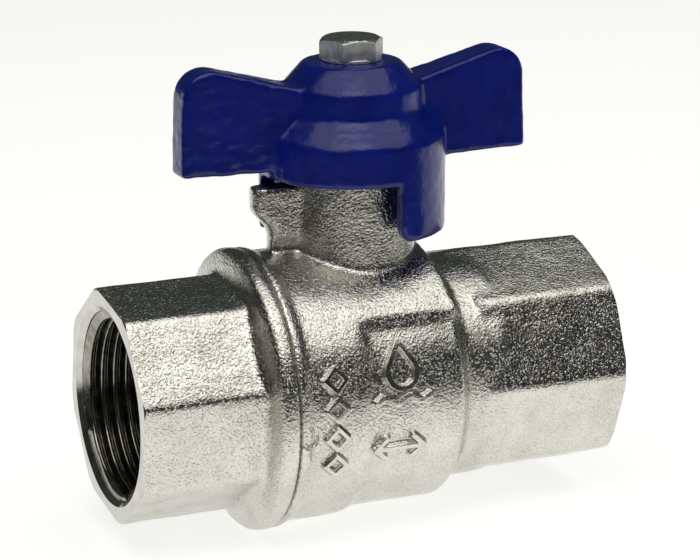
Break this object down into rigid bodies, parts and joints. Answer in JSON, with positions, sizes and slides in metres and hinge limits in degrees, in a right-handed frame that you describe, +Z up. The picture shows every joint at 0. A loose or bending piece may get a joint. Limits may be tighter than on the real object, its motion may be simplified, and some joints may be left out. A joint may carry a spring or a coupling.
{
  "type": "ball valve",
  "caption": "Quarter-turn brass ball valve with inside pipe threads, wrench octagons at both ends and a blue butterfly handle held by a hex screw.",
  "frame": {"origin": "centre of the ball, where the pipe axis and the stem axis cross", "axes": "+X along the pipe from the end adapter to the body's own threaded end, +Z up the stem to the handle, +Y to the back"},
  "size_m": [0.0723, 0.04, 0.0689],
  "materials": {
    "nickel_plate": "nickel plating on forged brass, fine pebbled forging skin",
    "ball_chrome": "polished chrome plating",
    "stem_brass": "turned brass",
    "gland_brass": "turned brass",
    "ptfe": "PTFE, waxy",
    "o_ring_rubber": "smooth black elastomer",
    "handle_paint": "glossy dark blue paint on a cast handle",
    "screw_zinc": "bright zinc-plated steel"
  },
  "bodies": {
    "valve_body": {"body": "nickel_plate", "end_adapter": "nickel_plate", "seat_ring_inlet": "ptfe", "seat_ring_outlet": "ptfe", "packing_ring_lower": "ptfe", "packing_ring_upper": "ptfe", "gland_nut": "gland_brass"},
    "handle_assembly": {"ball": "ball_chrome", "stem": "stem_brass", "stem_thrust_washer": "ptfe", "stem_o_ring_lower": "o_ring_rubber", "stem_o_ring_upper": "o_ring_rubber", "handle": "handle_paint", "handle_screw": "screw_zinc", "lock_washer": "screw_zinc"}
  },
  "joints": [
    {"name": "handle_turn", "type": "hinge", "parent": "valve_body", "child": "handle_assembly", "pos_m": [0, 0, 0], "axis": [0, 0, 1], "range_deg": [-90, 0]}
  ]
}
